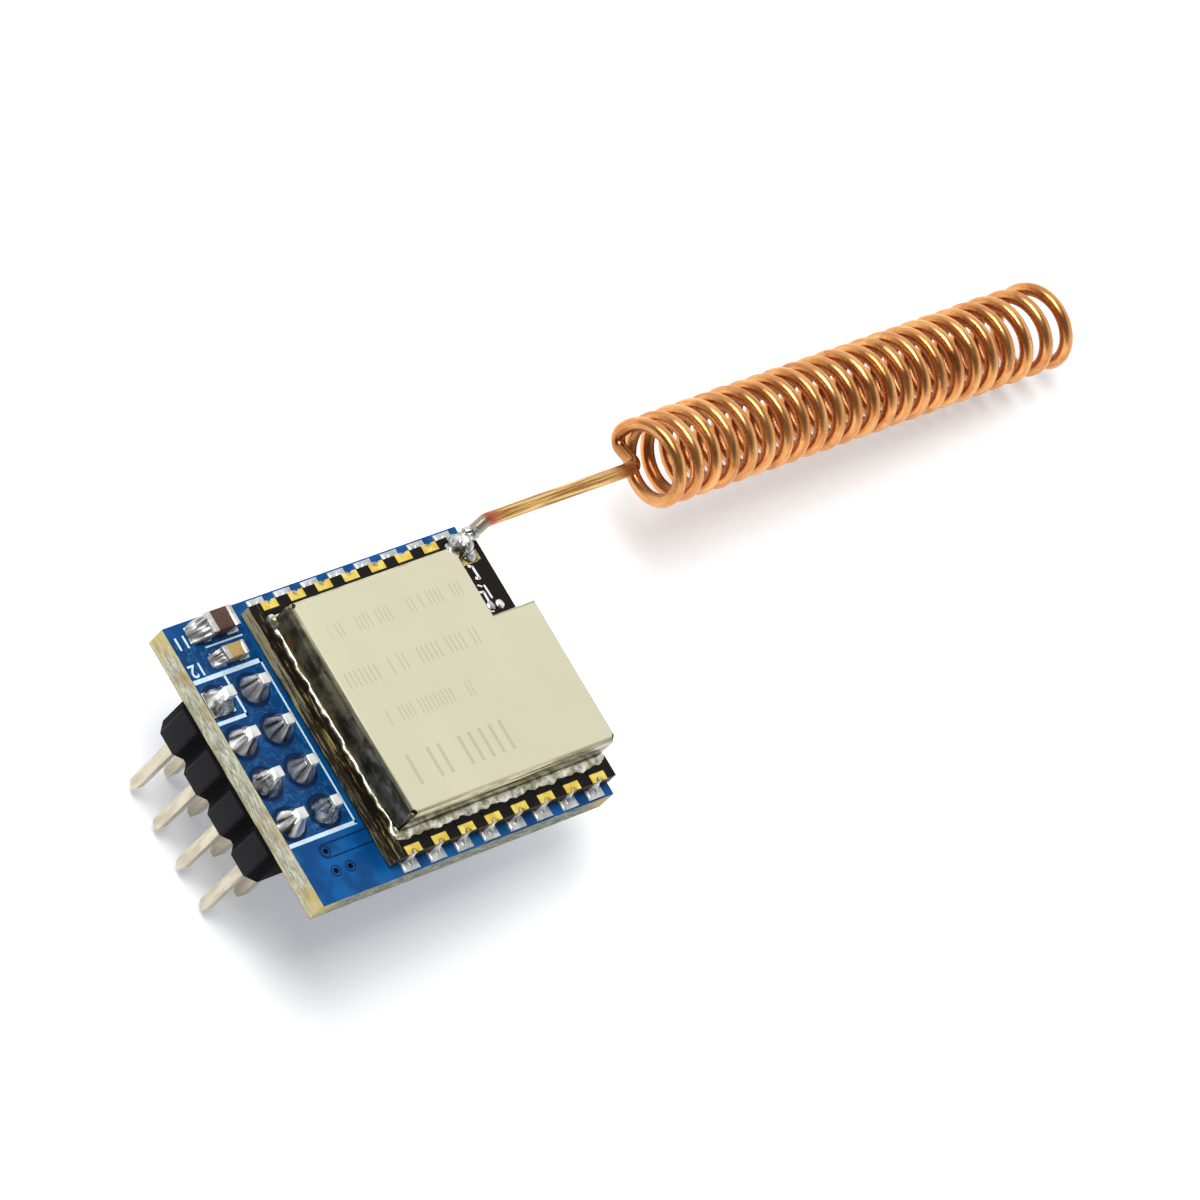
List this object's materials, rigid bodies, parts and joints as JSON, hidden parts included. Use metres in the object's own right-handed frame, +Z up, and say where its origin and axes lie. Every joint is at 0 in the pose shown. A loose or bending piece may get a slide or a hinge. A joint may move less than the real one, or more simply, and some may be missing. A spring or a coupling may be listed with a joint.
{
  "type": "radio module with coil antenna",
  "caption": "Small radio module on a blue adaptor board, with a two-row pin header at one end and a long coiled copper wire antenna at the other.",
  "frame": {"origin": "middle of the pin array on the underside of the header's plastic body, the face that seats on a socket", "axes": "+X along the board from the header to the antenna, +Y across the board towards the antenna's edge, +Z up out of the board, away from the socket"},
  "size_m": [0.0688, 0.0193, 0.0143],
  "materials": {
    "adaptor_board": "glossy blue solder mask over glass-fibre board",
    "tinned_pad": "bright tin",
    "header_plastic": "satin black moulding",
    "pin": "tin plate, pale",
    "solder": "bright solder",
    "seam_solder": "bright solder",
    "capacitor_brown": "satin brown ceramic",
    "capacitor_tan": "satin tan ceramic",
    "chip_end": "tin plate",
    "module_board": "glossy black solder mask",
    "gold_contact": "gold plate",
    "shield": "nickel silver sheet, satin",
    "chip_plastic": "matt black moulding",
    "crystal_ceramic": "matt dark ceramic",
    "crystal_lid": "satin metal",
    "copper_wire": "bare copper, bright"
  },
  "bodies": {
    "root": {"antenna_coil": "copper_wire", "antenna_pad": "gold_contact", "antenna_solder": "solder", "antenna_switch": "chip_plastic", "capacitor_1_body": "capacitor_brown", "capacitor_1_end_left": "chip_end", "capacitor_1_end_right": "chip_end", "capacitor_1_solder_left": "solder", "capacitor_1_solder_right": "solder", "capacitor_2_body": "capacitor_tan", "capacitor_2_end_left": "chip_end", "capacitor_2_end_right": "chip_end", "capacitor_2_solder_left": "solder", "capacitor_2_solder_right": "solder", "carrier_board": "adaptor_board", "carrier_pads": "tinned_pad", "crystal_base": "crystal_ceramic", "crystal_lid": "crystal_lid", "edge_contacts": "gold_contact", "edge_solder": "solder", "header_body": "header_plastic", "header_pin_1": "pin", "header_pin_2": "pin", "header_pin_3": "pin", "header_pin_4": "pin", "header_pin_5": "pin", "header_pin_6": "pin", "header_pin_7": "pin", "header_pin_8": "pin", "header_solder_1": "solder", "header_solder_2": "solder", "header_solder_3": "solder", "header_solder_4": "solder", "header_solder_5": "solder", "header_solder_6": "solder", "header_solder_7": "solder", "header_solder_8": "solder", "matching_chip_1": "capacitor_tan", "matching_chip_2": "capacitor_tan", "matching_chip_3": "capacitor_tan", "matching_chip_4": "capacitor_tan", "matching_chip_5": "capacitor_tan", "matching_chip_6": "capacitor_tan", "matching_chip_7": "capacitor_tan", "matching_chip_8": "capacitor_tan", "matching_chip_ends": "chip_end", "module_board": "module_board", "radio_chip": "chip_plastic", "radio_chip_leads": "tinned_pad", "shield_can": "shield", "shield_seam": "seam_solder"}
  },
  "joints": []
}
